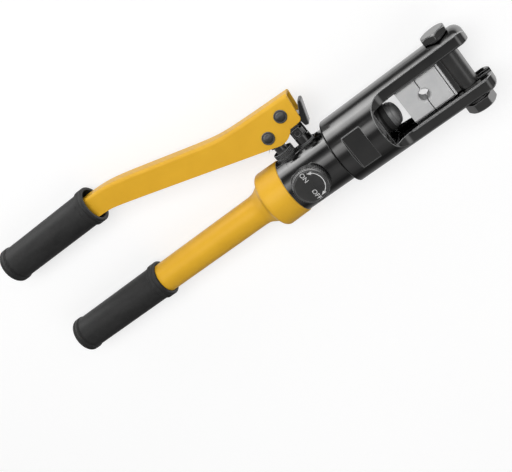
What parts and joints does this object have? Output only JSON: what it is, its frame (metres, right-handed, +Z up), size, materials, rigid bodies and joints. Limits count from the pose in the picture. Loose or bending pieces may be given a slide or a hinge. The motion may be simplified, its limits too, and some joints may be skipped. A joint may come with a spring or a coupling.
{
  "type": "hydraulic crimping tool",
  "caption": "Two-handled hand hydraulic crimper: steel head with a cross pin and split round dies, pump body with a release knob, oil-filled handle and pump lever.",
  "frame": {"origin": "centre of the closed crimp nest", "axes": "+X along the ram to the nose, +Y towards the pump handle, +Z up out of the release knob; the tool lies on its back"},
  "size_m": [0.525, 0.1789, 0.074],
  "materials": {
    "black_steel": "satin black oxide",
    "black_knob": "satin black, knurled",
    "bright_steel": "ground",
    "satin_die": "satin plated",
    "yellow_paint": "satin powder coat",
    "rubber": "matt moulded"
  },
  "bodies": {
    "frame": {"head": "black_steel", "pump_body": "black_steel", "fixed_handle": "yellow_paint", "fixed_grip": "rubber", "oil_bladder": "rubber", "bladder_plug": "bright_steel", "head_seal": "rubber", "gland_nut": "black_steel", "plunger_packing": "rubber", "fulcrum_post": "black_steel", "link_pin": "black_steel", "delivery_spring": "bright_steel", "delivery_plug": "bright_steel", "relief_spring": "bright_steel", "relief_screw": "bright_steel", "spring_anchor": "bright_steel", "upper_die": "satin_die", "backing_plate": "satin_die", "anvil": "black_steel", "return_spring": "bright_steel", "rod_wiper": "rubber"},
    "latch": {"latch_pin": "black_steel", "latch_cap": "black_steel"},
    "ram": {"ram": "bright_steel", "ram_seal": "rubber"},
    "lower_die": {"lower_die": "satin_die"},
    "link": {"fulcrum_link": "black_steel"},
    "handle": {"moving_handle": "yellow_paint", "moving_grip": "rubber", "pivot_rivets": "black_steel"},
    "plunger": {"pump_plunger": "black_steel"},
    "knob": {"release_knob": "black_knob", "valve_needle": "bright_steel", "knob_screw": "bright_steel"},
    "delivery_ball": {"delivery_ball": "bright_steel"},
    "relief_ball": {"relief_ball": "bright_steel"}
  },
  "joints": [
    {"name": "handle_swing", "type": "hinge", "parent": "link", "child": "handle", "pos_m": [-0.1175, 0.066, 0], "axis": [0, 0, 1], "range_deg": [-13.4, 7.7]},
    {"name": "link_swing", "type": "hinge", "parent": "frame", "child": "link", "pos_m": [-0.1162, 0.042, 0], "axis": [0, 0, 1], "range_deg": [-6.65, 3.85]},
    {"name": "plunger_slide", "type": "slide", "parent": "frame", "child": "plunger", "axis": [0, 1, 0], "range_m": [-0.0047, 0.0081]},
    {"name": "ram_slide", "type": "slide", "parent": "frame", "child": "ram", "axis": [1, 0, 0], "range_m": [-0.0138, 0.0014], "deforming": ["return_spring"]},
    {"name": "lower_die_slide", "type": "slide", "parent": "frame", "child": "lower_die", "axis": [1, 0, 0], "range_m": [-0.0044, 0.0005]},
    {"name": "latch_turn", "type": "hinge", "parent": "frame", "child": "latch", "pos_m": [0.0363, 0, 0], "axis": [0, 1, 0], "range_deg": [-180, 180]},
    {"name": "knob_turn", "type": "hinge", "parent": "frame", "child": "knob", "pos_m": [-0.1309, 0, 0.03], "axis": [0, 0, 1], "range_deg": [0, 90]},
    {"name": "delivery_lift", "type": "slide", "parent": "frame", "child": "delivery_ball", "axis": [1, 0, 0], "range_m": [0, 0.001], "stiffness_N_per_m": 200, "deforming": ["delivery_spring"]},
    {"name": "relief_lift", "type": "slide", "parent": "frame", "child": "relief_ball", "axis": [0, 0, -1], "range_m": [0, 0.001], "stiffness_N_per_m": 2000, "deforming": ["relief_spring"]}
  ],
  "couplings": [
    {"joint": "link_swing", "follows": "handle_swing", "ratio": 0.4925},
    {"joint": "plunger_slide", "follows": "handle_swing", "m_per_rad": -0.03433}
  ]
}
